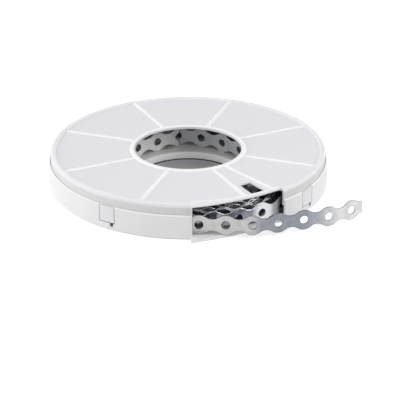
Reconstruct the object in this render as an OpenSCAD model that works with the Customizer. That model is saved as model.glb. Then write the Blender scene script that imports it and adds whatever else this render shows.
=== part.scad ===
// Wave-edged perforated steel strap, coiled in a round two-part dispenser cassette.
// Millimetres, +Z up. The origin is on the cassette's axis, in the plane it stands on.

/* [Strap] */
// Width of the strap over its bosses
strap_w = 17; // [15:0.5:18]
// Thickness of the strap
strap_t = 0.8; // [0.5:0.1:1]
// Width of the strap at its waists
waist_w = 10; // [8.5:0.1:11]
// Length of the flat on the crest of each boss
crest_flat = 3.4; // [3:0.1:5]
// Distance from hole to hole
pitch = 21.5; // [20.5:0.25:23]
// Diameter of the holes
hole_d = 7; // [5:0.25:7.5]

/* [Coil] */
// Room between the outermost turn and the lid skirt
coil_play = 1.4; // [0.6:0.1:3]
// Distance between the loose outer turns
outer_turn_gap = 4.6; // [4:0.1:5.5]
// Radius of the loose inner turn
inner_turn_r = 57; // [55:0.5:60]
// Angle that the loose inner turn spans
inner_turn = 253; // [248:1:256]
// Distance of the inner end from the axis
inner_end_r = 66.5; // [65:0.5:68]
// Angle at which the inner end lies
inner_end_angle = 97.5; // [94:0.5:105]
// Angle by which the inner end leans in from the turn behind it
inner_end_lean = 23.5; // [20:0.5:26]
// Straight length at the inner end
inner_end_run = 20; // [14:1:26]
// Radius of the bends into and out of the inner turn
inner_ease_r = 80; // [70:5:100]
// Turn of the bend into the inner turn
inner_ease = 17; // [12:1:20]
// Turn of the bend out of it, into the packed coil
inner_exit = 66; // [60:1:70]
// Number of packed turns between the loose ones
packed_turns = 12; // [8:1:16]
// Depth of the grooves between the packed turns, on both ends of the coil
groove_depth = 6; // [3:0.5:7]

/* [Drawn-out end] */
// Angle before the front at which the strap leaves its turn
tail_lead = 2; // [0:0.5:3]
// Straight length from there to the first bend
tail_run = 54; // [40:1:70]
// Radius of the first bend
tail_bend_r = 30; // [25:5:60]
// Turn of the first bend
tail_bend = 18; // [10:1:22]
// Straight length between the bends
tail_middle = 57; // [40:1:70]
// Radius of the second bend
tip_bend_r = 40; // [30:5:80]
// Turn of the second bend
tip_bend = 15; // [5:1:20]
// Straight length from the second bend to the cut end
tip_run = 22; // [14:0.5:40]

/* [Cassette] */
// Height from the standing plane to the rim of the lid
cassette_h = 30; // [28:0.5:36]
// Height of the lid's side above the base wall
lid_side_h = 9; // [8.5:0.25:11]
// Outer radius of the base wall
base_r = 118; // [115:0.5:125]
// Wall thickness of the two mouldings
wall = 1.4; // [1.2:0.1:1.8]
// Play between the lid skirt and the base wall
skirt_play = 0.4; // [0.2:0.05:0.6]
// Depth that the skirt reaches below the top of the base wall
skirt_overlap = 5; // [3:0.5:8]
// Radius of the rounded shoulder of the lid
shoulder_r = 2.6; // [2:0.1:3.5]
// Radius of the opening in the lid
lid_bore_r = 45.4; // [43:0.2:47]
// Step by which the opening in the floor is smaller than the lid's
bore_step = 0.4; // [0.2:0.1:3]
// Height of the foot ring below the floor
foot_h = 1.4; // [0.8:0.1:2]
// Width of the foot ring
foot_w = 8; // [7:0.5:10]
// Chamfer along the outer edges
edge = 0.5; // [0.3:0.05:0.6]

/* [Raised edges] */
// Number of evenly spaced ribs on the lid
ribs = 8; // [6:1:10]
// Angle of the rib on the mouth's side of the sight hole
rib_angle = -64.4; // [-66:0.2:-62]
// Width of a rib at its foot
rib_w = 4.6; // [3:0.1:5]
// Height of the ribs above the panels
rib_h = 0.9; // [0.6:0.05:0.9]
// Height of the rim and the collar above the panels
rim_h = 1.1; // [1:0.05:1.2]
// Width of the flat on the rim
rim_w = 1.2; // [1:0.1:2]
// Width of the collar around each opening
collar_w = 3.2; // [2.4:0.1:4]
// Height of the collar above the floor
floor_collar_h = 2.2; // [1:0.1:4]

/* [Mouth] */
// Angle of the jamb that the strap passes first
mouth_start = -88.2; // [-90:0.1:-86]
// Angle of the other jamb
mouth_end = -48; // [-56:0.5:-44]
// Distance that the upper lip stands out at the first jamb
mouth_lip = 1; // [0.9:0.1:3]
// Distance that the lower lip stands out at the first jamb
floor_lip = 6.2; // [4:0.1:7]
// Distance that both lips stand back at the other jamb
mouth_inset = 5.3; // [3:0.1:5.5]
// Radius of the lips' edge
mouth_edge_r = 199; // [180:1:240]

/* [Sight hole] */
// Angle between the two ribs beside the sight hole
sight_rib_spread = 14.3; // [13:0.1:16]
// Angle that the sight hole spans
sight_spread = 7; // [5:0.1:8]
// Length of the sight hole along the ribs
sight_l = 20; // [12:0.5:24]
// Distance from the sight hole to the shoulder
sight_margin = 7.9; // [7:0.1:10]

/* [Latches] */
// Number of latches
latches = 4; // [2:2:4]
// Angle of the first latch
latch_angle = -123.5; // [-126:0.5:-120]
// Width of a latch tongue
latch_w = 14; // [10:0.5:16]
// Gap beside and below a latch tongue
latch_gap = 0.8; // [0.7:0.1:2]
// Height of the lower end of a tongue
latch_foot_z = 7; // [6:0.5:10]
// Width of the release notch below a tongue
notch_w = 3.2; // [2:0.1:5]
// Number of gussets that the lid skirt stands on
gussets = 8; // [4:4:16]
// Width of a gusset
gusset_w = 1.6; // [1.2:0.1:2.4]

/* [Hidden] */
$fn = 96;

// Cuts run past a face by this much, and solids that fuse overlap by it
over = 1;

// Heights
floor_top = foot_h + wall;
strap_mid_z = floor_top + strap_w / 2;
panel_z = cassette_h - rim_h;
lid_under = panel_z - wall;
ledge_z = cassette_h - lid_side_h;
skirt_foot = ledge_z - skirt_overlap;

// Radii of the mouldings
base_inner_r = base_r - wall;
skirt_r = base_inner_r - skirt_play;
skirt_inner_r = skirt_r - wall;
shoulder_x = skirt_r - shoulder_r;
rim_r = shoulder_x - rim_w;
lid_collar_r = lid_bore_r + collar_w;
floor_bore_r = lid_bore_r - bore_step;
sight_outer_r = shoulder_x - sight_margin;
sight_angle = rib_angle + sight_rib_spread / 2;
notch_angle = asin((latch_w / 2 + latch_gap - notch_w) / base_r);

// Each of the mouth's lips runs from its tip at the first jamb to the second jamb on one wide arc
function polar(r, a) = r * [cos(a), sin(a)];
function lip_centre(reach) = let (
    from = polar(base_r + reach, mouth_start),
    to = polar(base_r - mouth_inset, mouth_end),
    half = norm(to - from) / 2,
    along = (to - from) / (2 * half)
) (from + to) / 2 + [-along.y, along.x] * sqrt(pow(mouth_edge_r, 2) - pow(half, 2));
far = 2 * base_r;
// The cheek stands this far into the mouth, past the end of the wall
cheek_in = 0.3;
// The lid's plate ends here in the mouth, and its lip begins further in
lip_root_r = rim_r - rim_h - over;

// Strap outline: boss arcs and waist arcs that run into each other
boss_r = norm([strap_w, crest_flat]) / 2;
// Depth by which a waist arc bites into a boss arc, so that the two cross cleanly
arc_bite = 0.05;
waist_r = (pow(pitch / 2, 2) + pow(waist_w / 2, 2) - pow(boss_r - arc_bite, 2))
        / (2 * (boss_r - arc_bite) - waist_w);
waist_y = waist_w / 2 + waist_r;
arc_span = norm([pitch / 2, waist_y]);
blend_y = (pow(arc_span, 2) + pow(boss_r, 2) - pow(waist_r, 2)) / (2 * arc_span) * waist_y / arc_span;

// The strap's path: each run is [radius, length], with radius 0 for a straight run.
// All bends turn to the left. A pose is [x, y, heading].
function half_turn(r) = [r, PI * r];
function bend(r, angle) = [r, PI * r * angle / 180];
function moved(p, run, s) =
    run[0] == 0 ? [p.x + s * cos(p[2]), p.y + s * sin(p[2]), p[2]]
    : let (h = p[2] + s / run[0] * 180 / PI)
      [p.x + run[0] * (sin(h) - sin(p[2])), p.y - run[0] * (cos(h) - cos(p[2])), h];
function length_of(runs, i = 0) = i == len(runs) ? 0 : runs[i][1] + length_of(runs, i + 1);
function pose_at(p, runs, s, i = 0) =
    i == len(runs) - 1 || s <= runs[i][1] ? moved(p, runs[i], s)
    : pose_at(moved(p, runs[i], runs[i][1]), runs, s - runs[i][1], i + 1);

// Loose outer turns, from the packed coil out to the cut end
outer_turn_r = skirt_inner_r - coil_play - strap_t / 2;
outer_start = [0, 2 * outer_turn_gap - outer_turn_r, 0];
outer_runs = [
    for (k = [3:-1:1]) half_turn(outer_turn_r - k * outer_turn_gap / 2),
    bend(outer_turn_r, 180 - tail_lead),
    [0, tail_run],
    bend(tail_bend_r, tail_bend),
    [0, tail_middle],
    bend(tip_bend_r, tip_bend),
    [0, tip_run]
];
outer_length = length_of(outer_runs);
outer_pitches = floor(outer_length / pitch);

// Loose inner turn, from the inner end out into the packed coil
inner_start = concat(polar(inner_end_r, inner_end_angle), inner_end_angle + 90 + inner_end_lean);
inner_runs = [
    [0, inner_end_run],
    bend(inner_ease_r, inner_ease),
    bend(inner_turn_r, inner_turn),
    bend(inner_ease_r, inner_exit)
];
inner_length = length_of(inner_runs);
inner_pitches = floor(inner_length / pitch);

// Each pitch is bent at three stations, so that every hole lies in a flat of its own.
// The outer end is cut at a waist, the inner one through a hole.
outer_stations = [for (k = [3 * outer_pitches:-1:0]) outer_length - k * pitch / 3];
inner_stations = concat(0, [for (k = [0:3 * inner_pitches - 1]) (k + 0.5) * pitch / 3]);

// The packed turns lie between the loose ones
loose_room = 2;
packed_outer_r = outer_turn_r - 2 * outer_turn_gap - loose_room;
packed_inner_r = norm(side_of(inner_start, inner_runs, [inner_length], 0)[0]) + strap_t;
packed_gap = (packed_outer_r - packed_inner_r) / (packed_turns - 1);

// Where the loose turns join the packed ones
function angle_of(p) = atan2(p.y, p.x);
outer_join = pose_at(outer_start, outer_runs, outer_stations[0] + pitch / 2);
inner_join = pose_at(inner_start, inner_runs, inner_stations[len(inner_stations) - 1] - pitch / 2);
join_l = 1.6 * pitch;

// Half the depth of the cutters across the strap
cut_reach = strap_t / 2 + over;

module sector(r, from, to) {
    step = (to - from) / 3;
    polygon([[0, 0], for (k = [0:3]) polar(r, from + k * step)]);
}

// Outline of a lip that stands out as given, from a radius to its edge and out over half of the cheek
module lip_2d(inner, reach) {
    difference() {
        intersection() {
            sector(far, mouth_start - asin(wall / 2 / base_r), mouth_end);
            translate(lip_centre(reach)) circle(r = mouth_edge_r);
        }
        circle(r = inner);
    }
}

// Cheek beside the first jamb, from the given radius to just short of the tip of the upper lip
module cheek_2d(inner) {
    rotate(mouth_start) translate([inner, cheek_in - wall])
        square([base_r + mouth_lip - 2 * cheek_in - inner, wall]);
}

// What a mouth leaves open in a wall: its sector, outside the given radius
module mouth_cut(inner, low) {
    translate([0, 0, low]) linear_extrude(cassette_h + 2 * over) difference() {
        sector(far, mouth_start, mouth_end);
        circle(r = inner);
    }
}

// What lies in front of the lower lip
module lip_cut() {
    translate([0, 0, -over]) linear_extrude(cassette_h) difference() {
        sector(far, mouth_start, mouth_end);
        translate(lip_centre(floor_lip)) circle(r = mouth_edge_r);
    }
}

// Part of a ring around the axis, centred on an angle and as wide as given at its outer face
module arc_block(outer, inner, width, angle, low, high) {
    spread = 2 * asin(width / 2 / outer);
    rotate(angle - spread / 2) rotate_extrude(angle = spread)
        translate([inner, low]) square([outer - inner, high - low]);
}

module at_latches() {
    for (k = [0:latches - 1]) rotate(latch_angle + 360 / latches * k) children();
}

// Floor, foot rings, wall and collar, with chamfered outer edges
module base_profile() {
    collar_r = floor_bore_r + collar_w;
    polygon([
        [floor_bore_r, 0], [collar_r, 0], [collar_r, foot_h],
        [base_r - foot_w, foot_h], [base_r - foot_w, 0], [base_r - 2 * edge, 0], [base_r, 2 * edge],
        [base_r, ledge_z - edge], [base_r - edge, ledge_z], [base_inner_r, ledge_z],
        [base_inner_r, floor_top], [collar_r, floor_top],
        [collar_r, floor_top + floor_collar_h - edge], [collar_r - edge, floor_top + floor_collar_h],
        [floor_bore_r, floor_top + floor_collar_h]
    ]);
}

module cassette_base() {
    color("whitesmoke") union() {
        difference() {
            union() {
                rotate_extrude() base_profile();
                // Gussets that the lid skirt stands on
                for (k = [0:gussets - 1])
                    arc_block(base_r - wall / 2, skirt_inner_r, gusset_w, 360 / gussets * k,
                              floor_top - wall / 2, skirt_foot);
            }
            mouth_cut(skirt_inner_r - over, floor_top);
            lip_cut();
            // Openings for the latch tongues, each with a release notch below one corner
            at_latches() {
                arc_block(base_r + over, base_inner_r - over, latch_w + 2 * latch_gap, 0,
                          latch_foot_z - latch_gap, ledge_z + over);
                arc_block(base_r + over, base_inner_r - over, notch_w, notch_angle,
                          floor_top + edge, latch_foot_z - latch_gap + over);
            }
        }
        // Lower lip and cheek of the mouth
        linear_extrude(floor_top) lip_2d(base_r - foot_w / 2, floor_lip);
        linear_extrude(ledge_z) cheek_2d(base_r - wall / 2);
    }
}

// Plate with sunken panels between the collar and the rim, the skirt, and the shoulder between the two
module lid_profile() {
    polygon([
        [lid_bore_r, lid_under], [shoulder_x, lid_under], [shoulder_x, cassette_h], [rim_r, cassette_h],
        [rim_r - rim_h, panel_z], [lid_collar_r + rim_h, panel_z], [lid_collar_r, cassette_h],
        [lid_bore_r + edge, cassette_h], [lid_bore_r, cassette_h - edge]
    ]);
    translate([skirt_inner_r, skirt_foot]) square([wall, cassette_h - shoulder_r - skirt_foot]);
    translate([shoulder_x, cassette_h - shoulder_r]) intersection() {
        square(shoulder_r);
        difference() {
            circle(r = shoulder_r);
            circle(r = shoulder_r - wall);
        }
    }
}

// Rib with a round crown, from inside the collar to inside the rim
module rib() {
    low = panel_z - wall / 2;
    crown_r = (pow(rib_w / 2, 2) + pow(rib_h, 2)) / (2 * rib_h);
    from = lid_bore_r + collar_w / 2;
    translate([from, 0, 0]) rotate([90, 0, 90]) linear_extrude(rim_r + rim_w / 2 - from) intersection() {
        translate([0, panel_z + rib_h - crown_r]) circle(r = crown_r);
        translate([-rib_w, low]) square([2 * rib_w, 2 * wall]);
    }
}

module cassette_lid() {
    color("white") difference() {
        union() {
            difference() {
                union() {
                    rotate_extrude() lid_profile();
                    for (k = [0:ribs - 1]) rotate(rib_angle + 360 / ribs * k) rib();
                    rotate(rib_angle + sight_rib_spread) rib();
                }
                mouth_cut(lip_root_r, -over);
            }
            // Upper lip and cheek of the mouth
            translate([0, 0, cassette_h - wall]) linear_extrude(wall)
                lip_2d(lip_root_r - 2 * over, mouth_lip);
            translate([0, 0, ledge_z]) linear_extrude(cassette_h - ledge_z - wall / 2)
                cheek_2d(skirt_r - wall / 2);
            // Latch tongues, flush with the base wall
            at_latches()
                arc_block(base_r, skirt_r - wall / 2, latch_w, 0, latch_foot_z, ledge_z);
        }
        // Sight hole
        translate([0, 0, lid_under - over]) linear_extrude(wall + 2 * over) difference() {
            intersection() {
                sector(far, sight_angle - sight_spread / 2, sight_angle + sight_spread / 2);
                circle(r = sight_outer_r);
            }
            circle(r = sight_outer_r - sight_l);
        }
    }
}

// What is cut away between two bosses, above the middle of the strap
module notch_2d() {
    top = strap_w / 2 + over;
    crest_from = pitch / 2 - crest_flat / 6;
    intersection() {
        translate([-pitch / 2, 0]) square([pitch, top]);
        union() {
            translate([0, waist_y]) circle(r = waist_r);
            difference() {
                translate([-crest_from, blend_y]) square([2 * crest_from, top - blend_y]);
                for (side = [-1, 1]) translate([side * pitch / 2, 0]) circle(r = boss_r);
            }
        }
    }
}

// Places a shape drawn in the strap's flat, X along it and Y up, at a pose on the path
module on_strap(p) {
    translate([p.x, p.y, strap_mid_z]) rotate(p[2]) rotate([90, 0, 0])
        linear_extrude(2 * cut_reach, center = true) children();
}

// One side of the strap in plan, through the given stations
function side_of(start, runs, stations, shift) = [
    for (s = stations) let (p = pose_at(start, runs, s)) [p.x - shift * sin(p[2]), p.y + shift * cos(p[2])]
];
function reversed(v) = [for (i = [len(v) - 1:-1:0]) v[i]];

module plain_strip(start, runs, stations) {
    translate([0, 0, floor_top]) linear_extrude(strap_w) polygon(concat(
        side_of(start, runs, stations, strap_t / 2),
        reversed(side_of(start, runs, stations, -strap_t / 2))
    ));
}

// Pose of the flat between two stations
function flat_pose(a, b) = [(a.x + b.x) / 2, (a.y + b.y) / 2, atan2(b.y - a.y, b.x - a.x)];

module punched_strip(start, runs, stations, holes_at, waists_at) {
    difference() {
        plain_strip(start, runs, stations);
        for (s = holes_at)
            on_strap(flat_pose(pose_at(start, runs, s - pitch / 6), pose_at(start, runs, s + pitch / 6)))
                circle(d = hole_d);
        for (s = waists_at) on_strap(pose_at(start, runs, s)) {
            notch_2d();
            mirror([0, 1]) notch_2d();
        }
    }
}

// Turned stand-in for the packed turns, grooved on both ends
module packed_coil() {
    low = floor_top + groove_depth;
    high = floor_top + strap_w - groove_depth;
    rotate_extrude() {
        for (k = [0:packed_turns - 1])
            translate([packed_inner_r + k * packed_gap - strap_t / 2, floor_top]) square([strap_t, strap_w]);
        translate([packed_inner_r, low]) square([packed_outer_r - packed_inner_r, high - low]);
    }
    // The loose turns leave the packed ones here
    arc_block(norm([outer_join.x, outer_join.y]) + 2 * strap_t, packed_outer_r,
              join_l, angle_of(outer_join), low, high);
    arc_block(packed_inner_r, norm([inner_join.x, inner_join.y]) - 2 * strap_t,
              join_l, angle_of(inner_join), low, high);
}

module perforated_strap() {
    color("silver") union() {
        punched_strip(outer_start, outer_runs, outer_stations,
            [for (k = [0:outer_pitches - 1]) outer_length - (k + 0.5) * pitch],
            [for (k = [1:outer_pitches - 1]) outer_length - k * pitch]);
        punched_strip(inner_start, inner_runs, inner_stations,
            [for (k = [0:inner_pitches - 1]) k * pitch],
            [for (k = [0:inner_pitches - 1]) (k + 0.5) * pitch]);
        packed_coil();
    }
}

cassette_base();
cassette_lid();
perforated_strap();
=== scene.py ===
import math

import bmesh
import bpy
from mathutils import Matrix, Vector


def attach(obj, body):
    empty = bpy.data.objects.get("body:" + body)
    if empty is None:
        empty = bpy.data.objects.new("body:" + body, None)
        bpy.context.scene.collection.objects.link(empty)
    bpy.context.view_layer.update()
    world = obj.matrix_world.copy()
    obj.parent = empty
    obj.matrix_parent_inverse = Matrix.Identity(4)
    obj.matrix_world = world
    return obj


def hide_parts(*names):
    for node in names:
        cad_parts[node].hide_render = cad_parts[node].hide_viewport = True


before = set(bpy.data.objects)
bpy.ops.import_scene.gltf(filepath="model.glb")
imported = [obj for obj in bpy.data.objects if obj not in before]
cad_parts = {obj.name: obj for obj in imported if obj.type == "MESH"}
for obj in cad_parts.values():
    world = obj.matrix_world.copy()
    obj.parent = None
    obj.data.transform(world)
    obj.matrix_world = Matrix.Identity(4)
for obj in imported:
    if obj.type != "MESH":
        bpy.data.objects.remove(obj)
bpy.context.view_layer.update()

scene = bpy.context.scene
mm = 0.001
print("frame loaded:", ", ".join(sorted(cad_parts)))


# Camera, at the photograph's height and distance
view = {"place": (0.01017, -1.5614, 0.7037), "tilt": 65.15, "lens": 180.82, "sensor": 36.0}

bpy.ops.object.camera_add(location=view["place"], rotation=(math.radians(view["tilt"]), 0, 0))
camera = bpy.context.object
camera.name = "photoCamera"
camera.data.lens = view["lens"]
camera.data.sensor_width = view["sensor"]
scene.camera = camera
scene.view_settings.view_transform = "Standard"
print("camera placed")


class Value:
    # A socket whose operators add Math nodes
    def __init__(self, sheet, socket):
        self.sheet = sheet
        self.socket = socket

    def maths(self, operation, first, second):
        return self.sheet.value("ShaderNodeMath", 0, {"operation": operation},
                                {0: first, 1: second})

    def __add__(self, other):
        return self.maths("ADD", self, other)

    def __radd__(self, other):
        return self.maths("ADD", other, self)

    def __sub__(self, other):
        return self.maths("SUBTRACT", self, other)

    def __rsub__(self, other):
        return self.maths("SUBTRACT", other, self)

    def __mul__(self, other):
        return self.maths("MULTIPLY", self, other)

    def __rmul__(self, other):
        return self.maths("MULTIPLY", other, self)

    def __pow__(self, other):
        return self.maths("POWER", self, other)


class NodeSheet:
    # A node tree and the ways to add to it
    def __init__(self, tree):
        self.tree = tree

    def node(self, kind, settings=None, sockets=None):
        node = self.tree.nodes.new(kind)
        for key, setting in (settings or {}).items():
            setattr(node, key, setting)
        for key, given in (sockets or {}).items():
            self.join(given, node.inputs[key])
        return node

    def join(self, given, socket):
        if isinstance(given, Value):
            given = given.socket
        if isinstance(given, bpy.types.NodeSocket):
            self.tree.links.new(given, socket)
        else:
            socket.default_value = given

    def value(self, kind, output, settings=None, sockets=None):
        return Value(self, self.node(kind, settings, sockets).outputs[output])

    def parts(self, vector):
        split = self.node("ShaderNodeSeparateXYZ", None, {0: vector})
        return [Value(self, split.outputs[k]) for k in range(3)]

    def place(self, scale=(1, 1, 1), source="Object"):
        spot = self.node("ShaderNodeTexCoord").outputs[source]
        return self.node("ShaderNodeMapping", None,
                         {"Vector": spot, "Scale": scale}).outputs[0]

    def noise(self, where, scale, detail=3.0, rough=0.5):
        return self.value("ShaderNodeTexNoise", 0, None,
                          {"Vector": where, "Scale": scale,
                           "Detail": detail, "Roughness": rough})

    def step(self, given, low, high):
        return self.value("ShaderNodeMapRange", 0, {"interpolation_type": "SMOOTHSTEP"},
                          {"Value": given, "From Min": low, "From Max": high})

    def mix(self, factor, first, second):
        return self.node("ShaderNodeMix", {"data_type": "RGBA"},
                         {0: factor, 6: first, 7: second}).outputs[2]

    def bump(self, height, strength, distance, over=None):
        sockets = {"Height": height, "Strength": strength, "Distance": distance}
        if over:
            sockets["Normal"] = over
        return self.node("ShaderNodeBump", None, sockets).outputs[0]

    def onShow(self):
        # 1 where the camera sees the surface, directly, mirrored or through glass
        rays = self.node("ShaderNodeLightPath").outputs
        kinds = ("Is Camera Ray", "Is Glossy Ray", "Is Transmission Ray")
        return sum(Value(self, rays[kind]) for kind in kinds)


class Finish(NodeSheet):
    # A material built round one Principled shader
    def __init__(self, name, **fixed):
        self.material = bpy.data.materials.new(name)
        self.material.use_nodes = True
        super().__init__(self.material.node_tree)
        self.shader = self.tree.nodes["Principled BSDF"]
        for label, number in fixed.items():
            self.shader.inputs[label].default_value = number

    def feed(self, label, given):
        self.join(given, self.shader.inputs[label])


def rgb(r, g, b):
    return (r, g, b, 1.0)


# White moulded plastic of both halves. On the lid the ribs and the rims are polished,
# the panels and the skirt matt. The ribs are painted near-white as a painted sheen; on the base
# the collar gets painted light, the top of the wall a painted highlight and the inside painted
# shade
plasticLook = {
    "body": {"IOR": 1.5, "Specular IOR Level": 0.2},
    "panelLight": rgb(0.80, 0.793, 0.83), "panelShade": rgb(0.765, 0.76, 0.79),
    "wallLight": rgb(0.82, 0.82, 0.823), "wallShade": rgb(0.79, 0.79, 0.793),
    # Of these, the inside tone is painted shade, and the rib white is a painted sheen, highlight
    # and light
    "inside": rgb(0.64, 0.635, 0.61), "skirt": rgb(0.68, 0.68, 0.68),
    "ribs": rgb(0.92, 0.92, 0.925), "rim": rgb(0.82, 0.82, 0.825),
    "cloudScale": 14.0, "cloudDetail": 4.0, "cloudRough": 0.55,
    "grainScale": 1500.0, "grainDetail": 2.0, "grainRough": 0.6,
    "grainBump": 0.10, "grainDepth": 0.08 * mm,
    "rough": 0.50, "roughSpread": 0.10, "polish": 0.16,
    "panelHeight": 29.0 * mm, "edgeHeight": 29.4 * mm,
    "ribReach": 109 * mm, "rimReach": 111 * mm,
    "skirtTop": (26.6 * mm, 27.6 * mm), "skirtFoot": (20.6 * mm, 20.9 * mm),
    "seam": (20.2 * mm, 20.7 * mm), "collar": (50 * mm, 51.5 * mm),
    "wallFoot": (105 * mm, 107 * mm),
}


def whitePlastic(name):
    look = plasticLook
    finish = Finish(name, **look["body"])
    where = finish.place()
    cloud = finish.noise(where, look["cloudScale"], look["cloudDetail"], look["cloudRough"])
    grain = finish.noise(where, look["grainScale"], look["grainDetail"], look["grainRough"])
    across, along, height = finish.parts(where)
    reach = (across * across + along * along) ** 0.5
    rough = look["rough"] + (cloud - 0.5) * look["roughSpread"]
    if name == "lidPlastic":
        tint = finish.mix(cloud, look["panelShade"], look["panelLight"])
        outside = finish.step(reach, look["ribReach"], look["rimReach"])
        skirt = finish.step(height, *look["skirtFoot"]) - finish.step(height, *look["skirtTop"])
        tint = finish.mix(skirt * outside, tint, look["skirt"])
        raised = finish.step(height, look["panelHeight"], look["edgeHeight"])
        # Raised ribs and collar are painted near-white, a painted sheen; the raised rim keeps the
        # rim tone
        tint = finish.mix(raised, tint, finish.mix(outside, look["ribs"], look["rim"]))
        rough = rough - raised * look["polish"]
    else:
        tint = finish.mix(cloud, look["wallShade"], look["wallLight"])
        # The inside of the base is painted darker: painted shade under the lid and the coil
        tint = finish.mix(finish.step(reach, *look["wallFoot"]), look["inside"], tint)
        # The collar round the bore is painted near-white: painted light on the ring inside the bore
        tint = finish.mix(finish.step(reach, *look["collar"]), look["ribs"], tint)
        # The top of the wall, above the seam, is painted near-white: a painted highlight
        tint = finish.mix(finish.step(height, *look["seam"]), tint, look["ribs"])
    finish.feed("Base Color", tint)
    finish.feed("Roughness", rough)
    finish.feed("Normal", finish.bump(grain, look["grainBump"], look["grainDepth"]))
    return finish.material


lidPlastic = whitePlastic("lidPlastic")
basePlastic = whitePlastic("basePlastic")


# Galvanised steel, with zinc spangle and rolling lines along the strap. Distances run from
# the cut end, or from the inner end for the loop and the core. Light is painted into the colour:
# the coil darker and bluer and a middle stretch of the tail darker, both as painted dark
# reflection, the tail's end paler as painted bright reflection, the innermost loop and core paler
# as painted light, and a stretch by the mouth near-white as a painted highlight. The innermost loop
# and that stretch are also less like a mirror
steelLook = {
    "dark": rgb(0.35, 0.35, 0.34), "bright": rgb(0.54, 0.54, 0.52),
    # The colours on the next lines are painted light and shade: dark and bright reflections, light,
    # highlights and shaded edges
    "coilDark": rgb(0.19, 0.207, 0.235), "coilBright": rgb(0.32, 0.342, 0.38),
    "tipDark": rgb(0.48, 0.48, 0.48), "tipBright": rgb(0.70, 0.70, 0.70),
    "paintedDarkReflectionDark": rgb(0.18, 0.193, 0.218), "paintedDarkReflectionBright": rgb(0.31, 0.325, 0.355),
    "loopDark": rgb(0.52, 0.535, 0.57), "loopBright": rgb(0.74, 0.76, 0.80),
    "paintedLitCore": rgb(0.92, 0.92, 0.92), "cut": rgb(0.92, 0.92, 0.92),
    "edgeRound": 1.0 * mm, "edgeSamples": 4, "edgeSlope": (0.04, 0.2),
    "paintedEdgeShade": rgb(0.02, 0.02, 0.02), "paintedEdgeShadeStrength": 0.65, "holeRim": (3.55 * mm, 3.8 * mm),
    "paintedDarkReflectionFrom": (18 * mm, 54 * mm), "paintedDarkReflectionTo": (88 * mm, 100 * mm),
    "paintedGleamFrom": (765 * mm, 771 * mm), "paintedGleamTo": (784 * mm, 796 * mm),
    "coilFrom": (165 * mm, 250 * mm), "loop": (480 * mm, 600 * mm),
    "coreFrom": (120 * mm, 230 * mm),
    "spangleScale": 260.0, "cloudScale": 30.0, "cloudDetail": 3.0,
    "lineScale": (8.0, 1400.0, 1.0), "lineDetail": 2.0, "lineBump": 0.12, "lineDepth": 0.1 * mm,
    "spangleShare": 0.35, "cloudShare": 0.45, "lineShare": 0.2,
    "rough": 0.22, "roughSpread": 0.08, "mirror": 0.92, "dullMirror": 0.35,
}


def galvanisedSteel(length):
    look = steelLook
    finish = Finish("galvanisedSteel")
    flat = finish.place(source="UV")
    cell = finish.node("ShaderNodeTexVoronoi", {"feature": "F1"},
                       {"Vector": flat, "Scale": look["spangleScale"]})
    spangle = finish.parts(cell.outputs["Color"])[0]
    cloud = finish.noise(flat, look["cloudScale"], look["cloudDetail"])
    lines = finish.noise(finish.place(look["lineScale"], source="UV"), 1.0, look["lineDetail"])
    blend = spangle * look["spangleShare"] + cloud * look["cloudShare"] + lines * look["lineShare"]
    fromCut, aside = finish.parts(flat)[:2]
    fromCore = length - fromCut

    # A stretch by the mouth, painted near-white: a painted highlight
    paintedGleam = finish.step(fromCut, *look["paintedGleamFrom"]) - finish.step(fromCut, *look["paintedGleamTo"])
    # The innermost loop and the stretch by the mouth: painted paler as painted light, and less
    # metallic
    paintedLitStretches = 1 - finish.step(fromCore, *look["loop"]) + paintedGleam
    # The innermost end and the stretch by the mouth, painted near-white: painted light
    paintedLitCoreAndGleam = 1 - finish.step(fromCore, *look["coreFrom"]) + paintedGleam
    # The tail's end, painted paler: a painted bright reflection
    tip = 1 - finish.step(fromCut, *look["paintedDarkReflectionFrom"])
    # A middle stretch of the tail, painted darker and bluer: a painted dark reflection
    paintedDarkReflection = 1 - finish.step(fromCut, *look["paintedDarkReflectionTo"])
    # The coil, painted darker and bluer than the tail: a painted dark reflection
    inCoil = finish.step(fromCut, *look["coilFrom"])
    face = finish.mix(blend, look["dark"], look["bright"])
    for where, tone in ((inCoil, "coil"), (paintedDarkReflection, "paintedDarkReflection"), (tip, "tip"), (paintedLitStretches, "loop")):
        tint = finish.mix(blend, look[tone + "Dark"], look[tone + "Bright"])
        face = finish.mix(where, face, tint)
    face = finish.mix(paintedLitCoreAndGleam, face, look["paintedLitCore"])

    # Cut edges: painted shade on the tail's edges and the holes' rims, and a painted highlight on
    # the edges in the coil
    rounded = finish.node("ShaderNodeBevel", {"samples": look["edgeSamples"]},
                          {"Radius": look["edgeRound"]}).outputs[0]
    upward = finish.parts(rounded)[2]
    edge = finish.step(upward * upward, *look["edgeSlope"])
    fromHole = fromCut.maths("MODULO", fromCut, strap["pitch"]) - strap["pitch"] / 2
    hole = (fromHole * fromHole + aside * aside) ** 0.5
    rim = 1 - finish.step(hole, *look["holeRim"])
    shade = edge.maths("MAXIMUM", edge, rim) * look["paintedEdgeShadeStrength"] * (1 - inCoil)
    # The tail's edges and the holes' rims are painted dark: painted shade
    face = finish.mix(shade, face, look["paintedEdgeShade"])
    # The edges in the coil are painted near-white: a painted highlight
    finish.feed("Base Color", finish.mix(edge * inCoil, face, look["cut"]))
    finish.feed("Metallic", look["mirror"] - paintedLitStretches * (look["mirror"] - look["dullMirror"]))
    finish.feed("Roughness", look["rough"] + (spangle - 0.5) * look["roughSpread"])
    finish.feed("Normal", finish.bump(lines, look["lineBump"], look["lineDepth"], rounded))
    return finish.material


for node, finish in (("cassette_lid", lidPlastic), ("cassette_base", basePlastic)):
    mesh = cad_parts[node].data
    mesh.materials.clear()
    mesh.materials.append(finish)
print("plastic finished")


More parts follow.
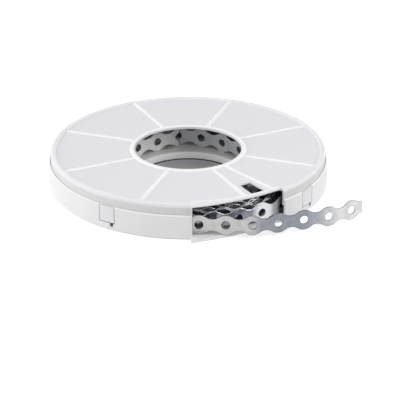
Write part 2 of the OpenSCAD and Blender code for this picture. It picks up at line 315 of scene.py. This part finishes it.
# The strap: one flat link, arrayed and laid along the coil's path
strap = {
    "width": 17 * mm, "waist": 10 * mm, "pitch": 21.5 * mm, "thick": 0.8 * mm,
    "holeRadius": 3.5 * mm, "crestFlat": 3.4 * mm, "corners": 24, "midHeight": 11.3 * mm,
    "mergeGap": 0.01 * mm, "smoothAngle": 35.0,
}
coil = {
    "endRadius": 66.5 * mm, "endAngle": 97.5, "endLean": 23.5, "endRun": 20 * mm,
    "easeRadius": 80 * mm, "ease": 17.0, "innerRadius": 57 * mm, "innerTurn": 253.0,
    "exit": 66.0, "tuckRadius": 45 * mm, "tuck": 25.0, "settle": 0.35,
    "turns": 14, "loosen": 0.45, "step": 4 * mm,
    "outerRadius": 113 * mm, "outerGap": 4.6 * mm,
    "pulledIn": 0.52 * mm,   # the outermost turn is this much tighter
}
tail = {
    "lead": 2.0, "run": 54 * mm, "bendRadius": 30 * mm, "bend": 18.0, "middle": 57 * mm,
    "tipRadius": 40 * mm, "tipBend": 15.0, "tipRun": 22 * mm,
    "rise": 2.4 * mm, "riseReach": 50 * mm,
}


def bend(radius, degrees):
    return radius, radius * math.radians(degrees)


innerRuns = [
    (0, coil["endRun"]), bend(coil["easeRadius"], coil["ease"]),
    bend(coil["innerRadius"], coil["innerTurn"]),
    bend(coil["easeRadius"], coil["exit"]), bend(coil["tuckRadius"], coil["tuck"]),
]
outerRuns = [
    *(bend(coil["outerRadius"] - half * coil["outerGap"] / 2, 180) for half in (3, 2)),
    bend(coil["outerRadius"] - coil["pulledIn"] - coil["outerGap"] / 2, 180),
    bend(coil["outerRadius"] - coil["pulledIn"], 180 - tail["lead"]),
    (0, tail["run"]), bend(tail["bendRadius"], tail["bend"]), (0, tail["middle"]),
    bend(tail["tipRadius"], tail["tipBend"]), (0, tail["tipRun"]),
]


def moved(place, radius, length):
    x, y, heading = place
    if radius == 0:
        return x + length * math.cos(heading), y + length * math.sin(heading), heading
    turned = heading + length / radius
    return (x + radius * (math.sin(turned) - math.sin(heading)),
            y - radius * (math.cos(turned) - math.cos(heading)), turned)


def followRuns(place, runs):
    places = [place]
    for radius, length in runs:
        steps = max(1, round(length / coil["step"]))
        places += [moved(place, radius, length * k / steps) for k in range(1, steps + 1)]
        place = places[-1]
    return places


def coilPoints(swell):
    # The free inner end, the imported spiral, the loose outer turns and the drawn-out end
    angle = math.radians(coil["endAngle"])
    start = (coil["endRadius"] * math.cos(angle), coil["endRadius"] * math.sin(angle),
             angle + math.pi / 2 + math.radians(coil["endLean"]))
    inner = followRuns(start, innerRuns)
    x, y, heading = inner[-1]
    low, high = math.hypot(x, y), coil["outerRadius"] - 2 * coil["outerGap"]
    turn = math.atan2(y, x)
    lean = (heading - turn - math.pi / 2 + math.pi) % (2 * math.pi) - math.pi
    ease = -math.tan(lean) * low * coil["settle"]
    sweep = (-math.pi / 2 - turn) % (2 * math.pi) + 2 * math.pi * coil["turns"]
    count = round(sweep * (low + high) / 2 / coil["step"])
    spiral = []
    for k in range(1, count):
        t = k / count
        radius = low + ease * (1 - math.exp(-t * sweep / coil["settle"])) * (1 - t)
        radius += (high - low) * t + (swell - coil["loosen"] * (high - low)) * t * (1 - t)
        spiral.append((radius * math.cos(turn + t * sweep), radius * math.sin(turn + t * sweep)))
    outer = followRuns((0.0, -high, 0.0), outerRuns)
    flat = [p[:2] for p in inner] + spiral + [p[:2] for p in outer]
    left = 0.0
    points = [(*flat[-1], tail["rise"])]
    for here, after in zip(flat[-2::-1], flat[:0:-1]):
        left += math.dist(here, after)
        share = max(0.0, 1 - left / tail["riseReach"])
        points.append((*here, tail["rise"] * share ** 2))
    return points[::-1]


def pathLength(points):
    return sum(math.dist(here, after) for here, after in zip(points, points[1:]))


def strapLength(links):
    return (links + 0.5) * strap["pitch"]   # cut at a waist outside and through a hole inside


def wholeLinks():
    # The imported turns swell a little, so that the strap ends where strapLength says
    slack = pathLength(coilPoints(0.0))
    growth = (pathLength(coilPoints(mm)) - slack) / mm
    links = math.ceil(slack / strap["pitch"] - 0.5)
    return links, (strapLength(links) - slack) / growth


def linkOutline():
    # A quarter of the wavy edge, from the middle of the waist to the crest
    half, low, top = strap["pitch"] / 2, strap["waist"] / 2, strap["width"] / 2
    boss = math.hypot(top, strap["crestFlat"] / 2)
    bow = (half ** 2 + low ** 2 - boss ** 2) / (2 * (boss - low))
    reach = math.atan2(half, low + bow)
    flat = math.asin(strap["crestFlat"] / 2 / boss)
    quarter = [(half, 0.0), (half, low)]
    quarter.append((half - bow * math.sin(reach / 2),
                    low + bow - bow * math.cos(reach / 2)))
    for share in (0.0, 0.5, 1.0):
        lean = reach + (flat - reach) * share
        quarter.append((boss * math.sin(lean), boss * math.cos(lean)))
    quarter.append((0.0, top))
    upper = quarter + [(-x, y) for x, y in reversed(quarter[:-1])]
    return upper + [(x, -y) for x, y in reversed(upper[1:-1])]


def select(chosen):
    bpy.ops.object.select_all(action="DESELECT")
    chosen.select_set(True)
    bpy.context.view_layer.objects.active = chosen


def makeLink():
    bpy.ops.object.select_all(action="DESELECT")
    bpy.ops.mesh.primitive_circle_add(vertices=strap["corners"], radius=strap["holeRadius"],
                                      calc_uvs=False)
    link = bpy.context.object
    link.name = "perforatedStrap"
    bpy.ops.object.mode_set(mode="EDIT")
    bpy.ops.mesh.select_all(action="SELECT")
    bpy.ops.mesh.extrude_region_move()
    grid = bmesh.from_edit_mesh(link.data)
    edge = linkOutline()
    for corner in grid.verts:
        if corner.select:
            turn = math.atan2(corner.co.y, corner.co.x) / (2 * math.pi) * strap["corners"]
            corner.co.x, corner.co.y = edge[round(turn) % strap["corners"]]
    bmesh.update_edit_mesh(link.data)
    bpy.ops.mesh.select_all(action="SELECT")
    bpy.ops.mesh.normals_make_consistent(inside=False)
    bpy.ops.object.mode_set(mode="OBJECT")
    return link


def applyAll(piece):
    select(piece)
    for modifier in list(piece.modifiers):
        bpy.ops.object.modifier_apply(modifier=modifier.name)


def makeStrap():
    links, swell = wholeLinks()
    length = strapLength(links)
    piece = makeLink()
    row = piece.modifiers.new("row", "ARRAY")
    row.count = links + 1
    row.use_relative_offset = False
    row.use_constant_offset = True
    row.constant_offset_displace = (strap["pitch"], 0, 0)
    row.use_merge_vertices = True
    row.merge_threshold = strap["mergeGap"]
    applyAll(piece)

    bpy.ops.object.mode_set(mode="EDIT")
    bpy.ops.mesh.select_all(action="SELECT")
    bpy.ops.mesh.bisect(plane_co=(0, 0, 0), plane_no=(-1, 0, 0), clear_outer=True)
    bpy.ops.object.mode_set(mode="OBJECT")

    sheet = piece.data.uv_layers.new(name="along")
    for loop in piece.data.loops:
        corner = piece.data.vertices[loop.vertex_index].co
        sheet.data[loop.index].uv = (length - corner.x, corner.y)

    piece.rotation_euler = (math.pi / 2, 0, 0)   # stands on its edge
    piece.location = (0, 0, strap["midHeight"])
    select(piece)
    bpy.ops.object.transform_apply(location=True, rotation=True, scale=True)

    points = coilPoints(swell)
    line = bpy.data.curves.new("coilPath", "CURVE")
    line.dimensions = "3D"
    line.twist_mode = "Z_UP"
    spline = line.splines.new("POLY")
    spline.points.add(len(points) - 1)
    for point, place in zip(spline.points, points):
        point.co = (*place, 1)
    path = bpy.data.objects.new("coilPath", line)
    scene.collection.objects.link(path)

    follow = piece.modifiers.new("follow", "CURVE")
    follow.object = path
    follow.deform_axis = "POS_X"
    wall = piece.modifiers.new("wall", "SOLIDIFY")
    wall.thickness = strap["thick"]
    wall.offset = 0
    applyAll(piece)
    bpy.data.objects.remove(path)
    bpy.ops.object.shade_smooth_by_angle(angle=math.radians(strap["smoothAngle"]))
    piece.data.materials.append(galvanisedSteel(length))
    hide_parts("perforated_strap")
    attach(piece, "root")
    print("strap laid:", links, "holes,", round(length, 2), "m")
    return piece


perforatedStrap = makeStrap()


# Floor and light
stageLook = {
    # The grey for under the object is painted shade
    "size": 6.0, "floor": rgb(0.75, 0.75, 0.76), "paintedShadeUnder": rgb(0.36, 0.36, 0.37),
    "rough": 0.8, "lift": 0.5, "clear": (60 * mm, 110 * mm),
    # The near-black ring is a painted shadow under the bore's edge
    "paintedShadowRing": rgb(0.02, 0.02, 0.02), "paintedShadowRingFrom": (41.6 * mm, 43.0 * mm), "paintedShadowRingTo": (48 * mm, 50 * mm),
    "white": rgb(1, 1, 1), "sky": 0.30,
}
lamps = [
    {"name": "leftSoftbox", "place": (-1.75, 0.0, 0.6), "size": (2.2, 1.0), "watts": 24.0},
    {"name": "keyLamp", "place": (1.55, -0.4, 0.85), "size": (1.3, 1.0), "watts": 16.0},
    {"name": "frontLamp", "place": (0.0, -1.35, 1.05), "size": (0.9, 0.7), "watts": 4.2},
    {"name": "topLamp", "place": (0.0, -0.6, 1.6), "size": (0.8, 0.8), "watts": 3.5},
    {"name": "backLamp", "place": (0.0, 0.9, 1.5), "size": (0.8, 0.8), "watts": 3.2},
]


def floorFinish():
    # White where the open floor is seen, directly or mirrored, and grey under the object as
    # painted shade, with a dark ring as a painted shadow under the bore's edge
    look = stageLook
    finish = Finish("paleFloor", Roughness=look["rough"])
    reach = finish.value("ShaderNodeVectorMath", 1, {"operation": "LENGTH"}, {0: finish.place()})
    clear = finish.step(reach, *look["clear"])
    # The dark ring is a painted shadow under the bore's edge
    paintedShadowRing = finish.step(reach, *look["paintedShadowRingFrom"]) - finish.step(reach, *look["paintedShadowRingTo"])
    # Grey under the object is painted shade
    tint = finish.mix(clear, look["paintedShadeUnder"], look["floor"])
    finish.feed("Base Color", finish.mix(paintedShadowRing, tint, look["paintedShadowRing"]))
    glow = finish.node("ShaderNodeEmission", None,
                       {"Color": look["white"], "Strength": finish.onShow() * clear * look["lift"]})
    both = finish.node("ShaderNodeAddShader", None,
                       {0: finish.shader.outputs[0], 1: glow.outputs[0]})
    finish.join(both.outputs[0], finish.tree.nodes["Material Output"].inputs["Surface"])
    return finish.material


bpy.ops.object.select_all(action="DESELECT")
bpy.ops.mesh.primitive_plane_add(size=stageLook["size"])
floor = bpy.context.object
floor.name = "paleFloor"
floor.data.materials.append(floorFinish())

world = bpy.data.worlds.new("softSky")
scene.world = world
world.use_nodes = True
air = NodeSheet(world.node_tree)
sky = world.node_tree.nodes["Background"]
air.join(stageLook["white"], sky.inputs["Color"])
air.join(stageLook["sky"] + air.onShow() * (1 - stageLook["sky"]), sky.inputs["Strength"])

for lamp in lamps:
    aim = Vector(lamp["place"]).to_track_quat("Z", "Y").to_euler()
    bpy.ops.object.light_add(type="AREA", location=lamp["place"], rotation=aim)
    light = bpy.context.object
    light.name = lamp["name"]
    light.data.shape = "RECTANGLE"
    light.data.size, light.data.size_y = lamp["size"]
    light.data.energy = lamp["watts"]
print("stage lit")
